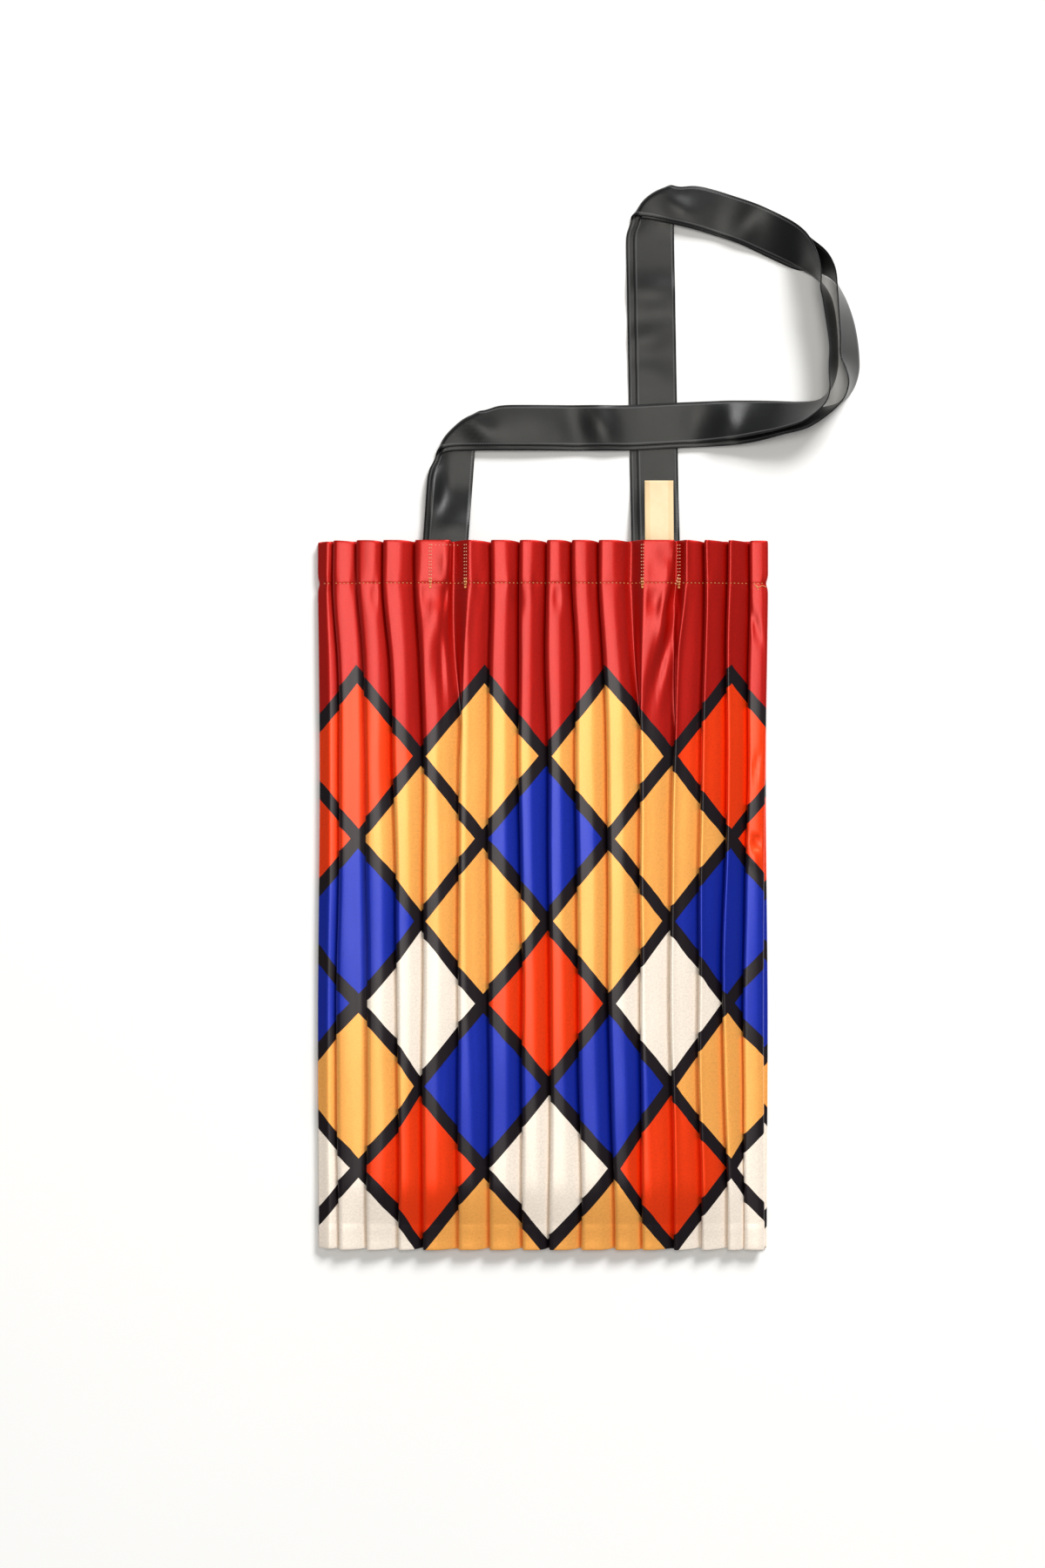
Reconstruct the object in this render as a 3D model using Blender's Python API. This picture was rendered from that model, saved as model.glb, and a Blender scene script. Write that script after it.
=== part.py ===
"""A tote bag of knife-pleated satin with two ribbon handles, lying flat on its back.

Metres. +X runs across the bag, +Y from the bottom seam to the mouth, +Z up from the floor.
The bag is modelled with the middle of its bottom seam at (0, 0, 0). An empty then carries
every piece, so that the middle of the whole footprint lies at the origin.
"""

from collections import namedtuple
import math

import bmesh
import bpy
from mathutils import Vector

# Bag
BAG_WIDTH = 0.273
BAG_LENGTH = 0.431
CLOTH = 0.001
LAYER_GAP = 0.0003
TUCK = 0.004
CREST = 0.0055
SIDE_FOLD = 0.0045
LEAD = 0.001
SCALLOP = 0.0015
HEM_DEPTH = 0.026
LOFT = 0.0052
LOFT_RUN = 0.042
SEAM_GAP = 0.0003
PRESSED_SHARE = 0.62
CHAMFER_SHARE = 0.3
SLANT_SHARE = 0.35
RISE_SHARE = 0.2

# Handles
RIBBON_WIDTH = 0.025
RIBBON = 0.001
FOLD_RADIUS = 0.0012
LOOP_HEIGHT = 0.216
EXIT_RUN = 0.036
LEFT_STRAP_SHARE = 0.288
RIGHT_STRAP_SHARE = 0.759
LEFT_LEAN = math.radians(4.0)
RIGHT_LEAN = math.radians(-1.0)
BACK_SHIFT = 0.0027

# Label
LABEL_WIDTH = 0.0175
LABEL_SHOWN = 0.037
LABEL_CAUGHT = 0.008
LABEL = 0.001

# Heights that follow from the sizes above
LAYER = CLOTH + LAYER_GAP
LOW = CLOTH / 2
MIDDLE = LOW + LAYER
HIGH = MIDDLE + LAYER
STACK = HIGH + CLOTH / 2
RIBBON_LAYER = RIBBON + LAYER_GAP
FRONT_BASE = STACK + SEAM_GAP

# Each fold's left edge as a share of the bag's width at five heights, and how far the straps
# pull it open at the top and at the shoulder, in tucks
Pleat = namedtuple("Pleat", "top shoulder upper middle bottom open_top open_shoulder")
PLEATS = (
    Pleat(0.000, 0.002, 0.004, 0.000, 0.002, 0, 0),
    Pleat(0.035, 0.047, 0.049, 0.043, 0.047, 0, 0),
    Pleat(0.089, 0.101, 0.107, 0.111, 0.111, 0, 0),
    Pleat(0.146, 0.163, 0.169, 0.179, 0.181, 0, 0),
    Pleat(0.219, 0.229, 0.237, 0.235, 0.235, 0, 0),
    Pleat(0.334, 0.324, 0.317, 0.313, 0.315, 3.2, 2.2),
    Pleat(0.388, 0.384, 0.381, 0.383, 0.383, 0, 0),
    Pleat(0.449, 0.449, 0.449, 0.456, 0.456, 0, 0),
    Pleat(0.511, 0.509, 0.513, 0.518, 0.518, 0, 0),
    Pleat(0.567, 0.575, 0.575, 0.581, 0.588, 0, 0),
    Pleat(0.627, 0.637, 0.643, 0.649, 0.662, 0, 0),
    Pleat(0.722, 0.717, 0.718, 0.718, 0.724, 2.7, 1.9),
    Pleat(0.817, 0.800, 0.790, 0.786, 0.794, 2.3, 1.5),
    Pleat(0.862, 0.858, 0.854, 0.847, 0.856, 0, 0),
    Pleat(0.913, 0.911, 0.911, 0.901, 0.915, 0, 0),
    Pleat(0.963, 0.959, 0.959, 0.948, 0.950, 0, 0),
)
RIGHT_EDGE = Pleat(1.000, 0.998, 0.994, 0.990, 0.992, 0, 0)

# Cross sections of a panel: height as a share of the bag's length, the fold columns read, the
# most that a fold is opened there, and how far the edge is scalloped
Row = namedtuple("Row", "share column opening most scallop")
ROWS = (
    Row(0.000, "bottom", None, 0, 0.5),
    Row(0.037, "bottom", None, 0, 0),
    Row(0.120, "bottom", None, 0, 0),
    Row(0.332, "middle", None, 0, 0),
    Row(0.682, "upper", None, 0, 0),
    Row(0.760, "upper", "open_shoulder", 1, 0),
    Row(0.835, "shoulder", "open_shoulder", 4, 0),
    Row(0.940, "top", "open_top", 4, 0),
    Row(1.000, "top", "open_top", 4, -1),
)

# The inner edge of each ribbon round its loop: place from the right strap's mouth in shares of
# the loop's height, bank in degrees from lying flat, and lift in ribbon layers
Route = namedtuple("Route", "across up bank lift")
BACK_ROUTE = (
    Route(-0.410, 0.383, 0, 2.6),
    Route(-0.263, 0.383, 0, 2.4),
    Route(-0.103, 0.383, 0, 2.1),
    Route(-0.015, 0.387, 0, 2.0),
    Route(0.081, 0.392, 0, 2.05),
    Route(0.179, 0.396, 12, 1.0),
    Route(0.265, 0.397, 28, 0.4),
    Route(0.334, 0.396, 40, 0),
    Route(0.400, 0.394, 56, 0),
    Route(0.452, 0.400, 79, -0.3),
    Route(0.486, 0.430, 98, -0.8),
    Route(0.504, 0.482, 107, -1),
    Route(0.506, 0.543, 107, -1),
    Route(0.501, 0.622, 110, -1),
    Route(0.489, 0.683, 109, -1),
    Route(0.467, 0.722, 103, -0.6),
    Route(0.435, 0.749, 80, 0),
    Route(0.393, 0.770, 52, 0.8),
    Route(0.327, 0.801, 24, 0.6),
    Route(0.229, 0.843, 8, 1.2),
    Route(0.135, 0.875, 0, 2.2),
    Route(0.061, 0.894, 0, 2.85),
)
FRONT_ROUTE = (
    Route(-0.410, 0.371, 0, 2.6),
    Route(-0.263, 0.371, 0, 2.4),
    Route(-0.103, 0.371, 0, 2.1),
    Route(-0.015, 0.375, 0, 2.0),
    Route(0.081, 0.380, 0, 2.05),
    Route(0.179, 0.383, 7, 0.8),
    Route(0.265, 0.383, 23, 0.1),
    Route(0.339, 0.381, 40, 0),
    Route(0.413, 0.378, 55, 0),
    Route(0.474, 0.381, 77, 0),
    Route(0.521, 0.398, 93, 0),
    Route(0.550, 0.432, 104, 0),
    Route(0.565, 0.477, 116, 0),
    Route(0.566, 0.523, 123, 0),
    Route(0.560, 0.577, 120, 0),
    Route(0.548, 0.631, 116, 0),
    Route(0.526, 0.688, 107, 0),
    Route(0.494, 0.737, 92, 0),
    Route(0.450, 0.759, 65, 0),
    Route(0.388, 0.768, 34, 0),
    Route(0.324, 0.795, 16, 0.2),
    Route(0.229, 0.838, 6, 1.2),
    Route(0.135, 0.869, 0, 2.2),
    Route(0.061, 0.888, 0, 2.85),
)
ROUTE_STEPS = 4
APPROACH_SHARES = (0.25, 0.5, 0.75, 1.0)
ROLL_STEPS = 5
LEAVING_SHARES = (0.33, 0.67, 1.0)
RUN_STEP = 0.012
LABEL_STEPS = 7


def smooth(t):
    """0 below 0, 1 above 1, and an even curve between."""
    t = min(max(t, 0.0), 1.0)
    return t * t * (3 - 2 * t)


def clear_scene():
    for thing in list(bpy.data.objects):
        bpy.data.objects.remove(thing, do_unlink=True)


def material(name, colour, roughness):
    made = bpy.data.materials.new(name)
    made.use_nodes = True
    surface = made.node_tree.nodes["Principled BSDF"]
    surface.inputs["Base Color"].default_value = (*colour, 1.0)
    surface.inputs["Roughness"].default_value = roughness
    surface.inputs["Metallic"].default_value = 0.0
    return made


def solid_from_rings(name, rings, finish):
    """One closed body through rings of equal length, with a strip of quads over each end.

    The first half of a ring runs along one side of the sheet and the second half comes back
    along the other, so both sides are split along the same diagonals and stay parallel.
    """
    mesh = bmesh.new()
    loops = [[mesh.verts.new(point) for point in ring] for ring in rings]
    count = len(loops[0])
    for lower, upper in zip(loops, loops[1:]):
        for i in range(count):
            j = (i + 1) % count
            if i < count // 2:
                mesh.faces.new((lower[i], lower[j], upper[j]))
                mesh.faces.new((lower[i], upper[j], upper[i]))
            else:
                mesh.faces.new((lower[i], lower[j], upper[i]))
                mesh.faces.new((lower[j], upper[j], upper[i]))
    for loop, turned in ((loops[0], True), (loops[-1], False)):
        for i in range(count // 2 - 1):
            quad = (loop[i], loop[i + 1], loop[count - 2 - i], loop[count - 1 - i])
            mesh.faces.new(quad[::-1] if turned else quad)
    bmesh.ops.recalc_face_normals(mesh, faces=mesh.faces[:])
    data = bpy.data.meshes.new(name)
    mesh.to_mesh(data)
    mesh.free()
    data.materials.append(finish)
    thing = bpy.data.objects.new(name, data)
    bpy.context.scene.collection.objects.link(thing)
    return thing


# Panels


def loft(x, y):
    """How far the front stands off the back: most in the middle, nothing at the seams."""
    from_side = BAG_WIDTH / 2 - abs(x)
    return LOFT * smooth(from_side / LOFT_RUN) * smooth(y / LOFT_RUN)


def toward(start, end, reach):
    """The point at most reach along the way from start to end, and at most half way."""
    leg = end - start
    return start + leg * min(0.5, reach / leg.length)


def pleat_line(row, pressed):
    """The middle line of the cloth across the bag at one height, as points (x, height).

    Each face starts at a raised fold on its left, falls to the right and runs on under the
    next fold, turns back, and comes out again as that fold. pressed is the share of each
    face that stays level with its fold.
    """
    folds = (*PLEATS, RIGHT_EDGE)
    edges = [BAG_WIDTH * (getattr(pleat, row.column) - 0.5) for pleat in folds]
    chamfer = LAYER * CHAMFER_SHARE
    fold = edges[0] + CLOTH / 2
    line = [Vector((edges[0] + SIDE_FOLD, LOW))]
    corners = [Vector((fold, LOW)), Vector((fold, HIGH))]
    for number, left in enumerate(edges[:-1]):
        right = edges[number + 1]
        last = number == len(PLEATS) - 1
        opened = min(getattr(folds[number + 1], row.opening), row.most) if row.opening else 0
        tuck = TUCK * (1 - opened)
        crest = Vector((left + max(CREST, pressed * (right - left)), HIGH))
        before = line[-1]
        line.append(toward(corners[0], before, chamfer))
        line.append(toward(corners[0], corners[1], chamfer))
        line.append(toward(corners[1], corners[0], chamfer))
        line.append(toward(corners[1], crest, chamfer))
        line.append(crest)
        if last:
            line.append(Vector((right, LOW)))
            break
        valley = right + CLOTH / 2 + tuck
        line.append(Vector((min(right, valley) - LEAD, LOW)))
        slant = max(0.0, -tuck) * SLANT_SHARE
        rise = min(opened, 1) * LAYER * RISE_SHARE
        line.append(Vector((valley, LOW)))
        line.append(Vector((valley + slant, MIDDLE - rise)))
        fold = right + CLOTH / 2
        corners = [Vector((fold - slant, MIDDLE + rise)), Vector((fold, HIGH))]
    return line


def mitred_offsets(line, distance):
    """Offset of each point of the line to its left, so that the cloth keeps its thickness."""
    offsets = []
    for i, point in enumerate(line):
        before = (point - line[i - 1]).normalized() if i else None
        after = (line[i + 1] - point).normalized() if i + 1 < len(line) else None
        before, after = before or after, after or before
        left = Vector((-before.y - after.y, before.x + after.x)).normalized()
        share = left.dot(Vector((-after.y, after.x)))
        offsets.append(left * distance / share)
    return offsets


def panel_ring(row, pressed, place):
    line = pleat_line(row, pressed)
    offsets = mitred_offsets(line, CLOTH / 2)
    ring = []
    for side, order in ((1, range(len(line))), (-1, reversed(range(len(line))))):
        for i in order:
            raised = (line[i].y - LOW) / (HIGH - LOW)
            y = row.share * BAG_LENGTH + row.scallop * SCALLOP * (1 - raised)
            x, height = line[i] + side * offsets[i]
            ring.append(place(x, y, height))
    return ring


def front_place(x, y, height):
    return Vector((x, y, FRONT_BASE + loft(x, y) + height))


def back_place(x, y, height):
    """The same sheet turned over about the bag's length, so its folds touch the floor."""
    return Vector((-x, y, STACK - height))


# Ribbons


def left_of(direction):
    return Vector((-direction.y, direction.x))


def loop_stations(route, level):
    """Pairs of edge points from the left fold round the loop to the top fold."""
    start_x = BAG_WIDTH * (RIGHT_STRAP_SHARE - 0.5)
    rows = [
        (start_x + r.across * LOOP_HEIGHT, BAG_LENGTH + r.up * LOOP_HEIGHT, r.bank, r.lift)
        for r in route
    ]
    samples = []
    for i in range(len(rows) - 1):
        a, b = rows[max(i - 1, 0)], rows[i]
        c, d = rows[i + 1], rows[min(i + 2, len(rows) - 1)]
        for step in range(ROUTE_STEPS):
            samples.append(spline(a, b, c, d, step / ROUTE_STEPS))
    samples.append(rows[-1])
    stations = []
    for i, (x, y, bank, lift) in enumerate(samples):
        ahead, behind = samples[min(i + 1, len(samples) - 1)], samples[max(i - 1, 0)]
        along = Vector((ahead[0] - behind[0], ahead[1] - behind[1])).normalized()
        inner = Vector((x, y, RIBBON / 2 + (level + lift) * RIBBON_LAYER))
        tilt = math.radians(bank)
        across = (-left_of(along) * math.cos(tilt)).to_3d()
        across.z = math.sin(tilt)
        stations.append((inner, inner + across * RIBBON_WIDTH))
    return stations


def spline(a, b, c, d, t):
    """A point of the smooth curve through rows b and c, whose neighbours are a and d."""
    return tuple(
        0.5 * (2 * q + (r - p) * t + (2 * p - 5 * q + 4 * r - s) * t**2 + (3 * (q - r) + s - p) * t**3)
        for p, q, r, s in zip(a, b, c, d)
    )


def exit_height(y, level, mouth_height):
    """Height of a ribbon's middle: on the floor away from the bag, and raised at its mouth."""
    floor_height = RIBBON / 2 + level * RIBBON_LAYER
    return mouth_height + (floor_height - mouth_height) * smooth((y - BAG_LENGTH) / EXIT_RUN)


Fold = namedtuple("Fold", "corner inward axis beyond across radius high span")


def strap_fold(first, second, strap_x, lean, radius, low):
    """The turn-over fold between the loop's end at first and the strap at strap_x.

    second is the station next to first. The ribbon comes from the loop, rolls down round a
    slanting axis and goes back under itself to the strap.
    """
    across = (first[0] - first[1]).to_2d().normalized()
    centre = (first[0] + first[1]).to_2d() / 2
    inward = (centre - (second[0] + second[1]).to_2d() / 2).normalized()
    inward = (inward - across * inward.dot(across)).normalized()
    strap = Vector((math.sin(lean), math.cos(lean)))
    axis = (inward - strap).normalized()
    beyond = left_of(axis)
    if beyond.dot(inward) < 0:
        beyond = -beyond
    aim = Vector((strap_x, BAG_LENGTH)) - centre - math.pi * radius * beyond
    reach = aim.cross(strap) / inward.cross(strap)
    corner = centre + inward * reach
    span = reach * inward.dot(beyond) - abs(across.dot(beyond)) * RIBBON_WIDTH / 2
    return Fold(corner, inward, axis, beyond, across, radius, low + 2 * radius, span)


def fold_point(fold, along, offset, start_height, strap_height):
    """World place of the ribbon's point at along past the corner and offset across it."""
    flat = along * fold.inward + offset * fold.across
    on_axis, past = flat.dot(fold.axis), flat.dot(fold.beyond)
    arc = math.pi * fold.radius
    if past <= 0:
        plan = fold.corner + flat
        height = fold.high + (start_height - fold.high) * smooth(-past / fold.span)
    elif past < arc:
        turn = past / fold.radius
        plan = fold.corner + on_axis * fold.axis + fold.radius * math.sin(turn) * fold.beyond
        height = fold.high - fold.radius * (1 - math.cos(turn))
    else:
        plan = fold.corner + on_axis * fold.axis - (past - arc) * fold.beyond
        height = strap_height(plan.y)
    return Vector((plan.x, plan.y, height))


def strap_stations(fold, reach, start_height, strap_height, strap_direction):
    """Pairs of edge points from the loop's end, round the fold and down into the hem."""
    slope = fold.inward.dot(fold.beyond)
    skew = fold.across.dot(fold.beyond) / slope
    arc_along = math.pi * fold.radius / slope
    half = RIBBON_WIDTH / 2
    landing = fold.corner + math.pi * fold.radius * fold.beyond
    end_along = (landing.y - BAG_LENGTH + HEM_DEPTH) / strap_direction.y
    places = [(-reach * (1 - share), smooth(share)) for share in APPROACH_SHARES]
    places += [(arc_along * i / ROLL_STEPS, 1.0) for i in range(1, ROLL_STEPS + 1)]
    straightened = arc_along + RIBBON_WIDTH
    places += [(arc_along + RIBBON_WIDTH * share, 1 - smooth(share)) for share in LEAVING_SHARES]
    runs = math.ceil((end_along - straightened) / RUN_STEP)
    places += [
        (straightened + (end_along - straightened) * i / runs, 0.0) for i in range(1, runs + 1)
    ]
    stations = []
    for along, skewed in places:
        pair = [
            fold_point(fold, along - skewed * offset * skew, offset, start_height, strap_height)
            for offset in (half, -half)
        ]
        stations.append(tuple(pair))
    return stations


def handle_stations(route, loop_level, strap_level, radius, shift, mouth_heights):
    """All pairs of edge points of one handle, from its left end to its right end."""
    loop = loop_stations(route, loop_level)
    low = RIBBON / 2 + strap_level * RIBBON_LAYER
    ends = (
        (loop[0], loop[1], LEFT_STRAP_SHARE, LEFT_LEAN, mouth_heights[0]),
        (loop[-1], loop[-2], RIGHT_STRAP_SHARE, RIGHT_LEAN, mouth_heights[1]),
    )
    straps = []
    for first, second, share, lean, mouth_height in ends:
        strap_x = BAG_WIDTH * (share - 0.5) - shift
        fold = strap_fold(first, second, strap_x, lean, radius, low)
        centre = (first[0] + first[1]).to_2d() / 2
        reach = (fold.corner - centre).length
        direction = Vector((math.sin(lean), math.cos(lean)))
        straps.append(
            strap_stations(
                fold,
                reach,
                first[0].z,
                lambda y, top=mouth_height: exit_height(y, strap_level, top),
                direction,
            )
        )
    return straps[0][::-1] + loop + straps[1]


def strip_solid(name, stations, thickness, finish):
    """A flat strip of even thickness through pairs of edge points."""
    rings = []
    for i, (inner, outer) in enumerate(stations):
        ahead, behind = stations[min(i + 1, len(stations) - 1)], stations[max(i - 1, 0)]
        along = ahead[0] + ahead[1] - behind[0] - behind[1]
        normal = along.cross(outer - inner).normalized() * thickness / 2
        rings.append([inner + normal, outer + normal, outer - normal, inner - normal])
    return solid_from_rings(name, rings, finish)


def label_stations(ribbon_mouth_height, strap_level):
    """The tab lies on the right end of the front ribbon, and its foot is inside the hem."""
    centre = BAG_WIDTH * (RIGHT_STRAP_SHARE - 0.5)
    step_up = RIBBON / 2 + LAYER_GAP + LABEL / 2
    half = LABEL_WIDTH / 2
    stations = []
    for i in range(LABEL_STEPS + 1):
        y = BAG_LENGTH - LABEL_CAUGHT + (LABEL_CAUGHT + LABEL_SHOWN) * i / LABEL_STEPS
        z = exit_height(y, strap_level, ribbon_mouth_height) + step_up
        stations.append((Vector((centre - half, y, z)), Vector((centre + half, y, z))))
    return stations


def build():
    clear_scene()
    front_satin = material("front_satin", (0.50, 0.03, 0.02), 0.42)
    back_satin = material("back_satin", (0.50, 0.03, 0.02), 0.42)
    front_ribbon = material("front_ribbon", (0.03, 0.032, 0.034), 0.40)
    back_ribbon = material("back_ribbon", (0.05, 0.052, 0.055), 0.40)
    label_tape = material("label_tape", (0.95, 0.60, 0.28), 0.60)

    front_rings = [panel_ring(row, 0.0, front_place) for row in ROWS]
    back_rings = [panel_ring(row, PRESSED_SHARE, back_place) for row in ROWS]
    under_front = FRONT_BASE + LOFT - LAYER_GAP - RIBBON / 2
    under_label = under_front - LABEL - LAYER_GAP
    on_back = STACK + LAYER_GAP + RIBBON / 2
    front_handle = handle_stations(FRONT_ROUTE, 0, 1, FOLD_RADIUS, 0.0, (under_front, under_label))
    back_handle = handle_stations(
        BACK_ROUTE, 1, 0, FOLD_RADIUS + RIBBON_LAYER, BACK_SHIFT, (on_back, on_back)
    )
    pieces = [
        solid_from_rings("front_panel", front_rings, front_satin),
        solid_from_rings("back_panel", back_rings, back_satin),
        strip_solid("front_handle", front_handle, RIBBON, front_ribbon),
        strip_solid("back_handle", back_handle, RIBBON, back_ribbon),
        strip_solid("label_tab", label_stations(under_label, 1), LABEL, label_tape),
    ]
    points = [vertex.co for piece in pieces for vertex in piece.data.vertices]
    root = bpy.data.objects.new("tote_bag", None)
    bpy.context.scene.collection.objects.link(root)
    root.location = (
        -(min(p.x for p in points) + max(p.x for p in points)) / 2,
        -(min(p.y for p in points) + max(p.y for p in points)) / 2,
        -min(p.z for p in points),
    )
    for piece in pieces:
        piece.parent = root


build()
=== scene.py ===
"""Looks of the pleated satin tote: printed cloth, ribbons, label, thread, floor, light, camera."""

from collections import namedtuple
from functools import lru_cache
import math

import bpy
import numpy as np
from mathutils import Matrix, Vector


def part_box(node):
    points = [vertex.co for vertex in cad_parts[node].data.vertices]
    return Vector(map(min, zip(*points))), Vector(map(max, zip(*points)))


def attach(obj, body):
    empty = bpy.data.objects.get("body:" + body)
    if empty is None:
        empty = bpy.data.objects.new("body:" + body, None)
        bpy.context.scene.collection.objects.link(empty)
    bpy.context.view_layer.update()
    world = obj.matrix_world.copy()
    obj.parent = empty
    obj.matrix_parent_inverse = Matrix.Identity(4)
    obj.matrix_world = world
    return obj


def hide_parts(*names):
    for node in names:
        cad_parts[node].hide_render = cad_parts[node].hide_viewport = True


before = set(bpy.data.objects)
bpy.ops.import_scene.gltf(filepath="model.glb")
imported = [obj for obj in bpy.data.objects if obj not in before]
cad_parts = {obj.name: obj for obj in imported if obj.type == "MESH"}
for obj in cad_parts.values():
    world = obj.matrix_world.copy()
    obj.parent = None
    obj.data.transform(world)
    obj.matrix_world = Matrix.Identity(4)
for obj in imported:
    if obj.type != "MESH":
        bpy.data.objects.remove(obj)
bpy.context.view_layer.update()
scene = bpy.context.scene

# Sizes and tables repeated from the part's source, in metres
BAG_WIDTH = 0.273
BAG_LENGTH = 0.431
CLOTH = 0.001
LAYER_GAP = 0.0003
TUCK = 0.004
SIDE_FOLD = 0.0045
SCALLOP = 0.0015
HEM_DEPTH = 0.026
LOFT = 0.0052
LOFT_RUN = 0.042
SEAM_GAP = 0.0003
RIBBON_WIDTH = 0.025
RIBBON = 0.001
FOLD_RADIUS = 0.0012
LOOP_HEIGHT = 0.216
EXIT_RUN = 0.036
LEFT_STRAP_SHARE = 0.288
RIGHT_STRAP_SHARE = 0.759
LEFT_LEAN = math.radians(4.0)
RIGHT_LEAN = math.radians(-1.0)
LABEL_WIDTH = 0.0175
LABEL_SHOWN = 0.037
LABEL_CAUGHT = 0.008
LABEL = 0.001
LAYER = CLOTH + LAYER_GAP
LOW = CLOTH / 2
MIDDLE = LOW + LAYER
HIGH = MIDDLE + LAYER
STACK = HIGH + CLOTH / 2
RIBBON_LAYER = RIBBON + LAYER_GAP
FRONT_BASE = STACK + SEAM_GAP
ROUTE_STEPS = 4

# How far the back ribbon's two straps show to the left of the front one's; the right one shows
# 1.6 mm more than in the part's source
BACK_SHIFTS = (0.0027, 0.0043)

# Where the bag's own frame (middle of the bottom seam) lies in the world
front_low = Vector(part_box("front_panel")[0])
ORIGIN = Vector((front_low.x + BAG_WIDTH / 2, front_low.y, 0.0))
MM = 0.001

# The photo: metres in a pixel, its height, its middle, the bag's middle column and its mouth's row
PX = 0.00053
PHOTO_HEIGHT = 1800
PHOTO_MIDDLE = (600, 900)
BAG_COLUMN = 623.5
MOUTH_ROW = 621


def bag_x(px):
    """A photo column as a distance across the bag's frame."""
    return (px - BAG_COLUMN) * PX


def bag_y(py):
    """A photo row as a distance up the bag's frame."""
    return BAG_LENGTH + (MOUTH_ROW - py) * PX


# Each fold's place at five heights, as a share of the bag's width, and how far it stands open at
# two of them, as a share of its tuck; the first row is the bag's left edge
PLACES = "top shoulder upper middle bottom open_top open_shoulder"
Pleat = namedtuple("Pleat", PLACES, defaults=(0, 0))
PLEATS = (
    Pleat(0.000, 0.002, 0.004, 0.000, 0.002),
    Pleat(0.035, 0.047, 0.049, 0.043, 0.047),
    Pleat(0.089, 0.101, 0.107, 0.111, 0.111),
    Pleat(0.146, 0.163, 0.169, 0.179, 0.181),
    Pleat(0.219, 0.229, 0.237, 0.235, 0.235),
    Pleat(0.334, 0.324, 0.317, 0.313, 0.315, 3.2, 2.2),
    Pleat(0.388, 0.384, 0.381, 0.383, 0.383),
    Pleat(0.449, 0.449, 0.449, 0.456, 0.456),
    Pleat(0.511, 0.509, 0.513, 0.518, 0.518),
    Pleat(0.567, 0.575, 0.575, 0.581, 0.588),
    Pleat(0.627, 0.637, 0.643, 0.649, 0.662),
    Pleat(0.722, 0.717, 0.718, 0.718, 0.724, 2.7, 1.9),
    Pleat(0.817, 0.800, 0.790, 0.786, 0.794, 2.3, 1.5),
    Pleat(0.862, 0.858, 0.854, 0.847, 0.856),
    Pleat(0.913, 0.911, 0.911, 0.901, 0.915),
    Pleat(0.963, 0.959, 0.959, 0.948, 0.950),
)
RIGHT_EDGE = Pleat(1.000, 0.998, 0.994, 0.990, 0.992)
FOLDS = len(PLEATS) - 1
# The folds that stand open or lean where the straps are sewn
STRAP_FOLDS = (5, 11, 12)
# Heights of those places, as shares of the bag, from the bottom up
EDGE_KNOTS = (0.0, 0.332, 0.682, 0.835, 0.940, 1.0)
OPEN_KNOTS = (0.0, 0.682, 0.760, 0.835, 0.940, 1.0)

# Level part of each face, as a share of its width at the mouth, the middle and the bottom, and
# how far it stands above the stacked layers, in millimetres
Face = namedtuple("Face", "mouth middle bottom proud")
FACES = (
    Face(0.56, 0.50, 0.50, 0.8),
    Face(0.56, 0.45, 0.60, 2.2),
    Face(0.64, 0.52, 0.50, 2.4),
    Face(0.55, 0.48, 0.38, 2.5),
    Face(0.86, 0.44, 0.40, 2.6),
    Face(0.05, 0.25, 0.50, 2.3),
    Face(0.52, 0.54, 0.52, 2.4),
    Face(0.46, 0.42, 0.55, 2.4),
    Face(0.50, 0.46, 0.50, 2.4),
    Face(0.54, 0.56, 0.55, 2.4),
    Face(0.46, 0.50, 0.50, 2.5),
    Face(0.88, 0.14, 0.30, 2.5),
    Face(0.06, 0.08, 0.18, 2.6),
    Face(0.14, 0.10, 0.22, 2.6),
    Face(0.14, 0.12, 0.58, 2.4),
    Face(0.94, 0.92, 0.90, 1.7),
)

# How far the level part of a few faces leans down to the right, in millimetres; below 0, to the left
DIPS = {1: 1.1, 2: 0.8, 3: 0.3, 12: 0.5, 13: 0.4, 14: 0.2, 15: -0.7}
# How far the first face falls away to the bag's left edge
SIDE_FALL = 0.0026
# How far each fold's edge bulges over the face before it
OVERHANG = 0.0007

# The inner edge of each ribbon round its loop, as in the part's source: places across and up from
# the right strap at the mouth, as shares of the loop's height, bank in degrees, lift in layers
BACK_ROUTE = (
    (-0.410, 0.383, 0, 2.6),
    (-0.263, 0.383, 0, 2.4),
    (-0.103, 0.383, 0, 2.1),
    (-0.015, 0.387, 0, 2.0),
    (0.081, 0.392, 0, 2.05),
    (0.179, 0.396, 12, 1.0),
    (0.265, 0.397, 28, 0.4),
    (0.334, 0.396, 40, 0),
    (0.400, 0.394, 56, 0),
    (0.452, 0.400, 79, -0.3),
    (0.486, 0.430, 98, -0.8),
    (0.504, 0.482, 107, -1),
    (0.506, 0.543, 107, -1),
    (0.501, 0.622, 110, -1),
    (0.489, 0.683, 109, -1),
    (0.467, 0.722, 103, -0.6),
    (0.435, 0.749, 80, 0),
    (0.393, 0.770, 52, 0.8),
    (0.327, 0.801, 24, 0.6),
    (0.229, 0.843, 8, 1.2),
    (0.135, 0.875, 0, 2.2),
    (0.061, 0.894, 0, 2.85),
)
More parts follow.
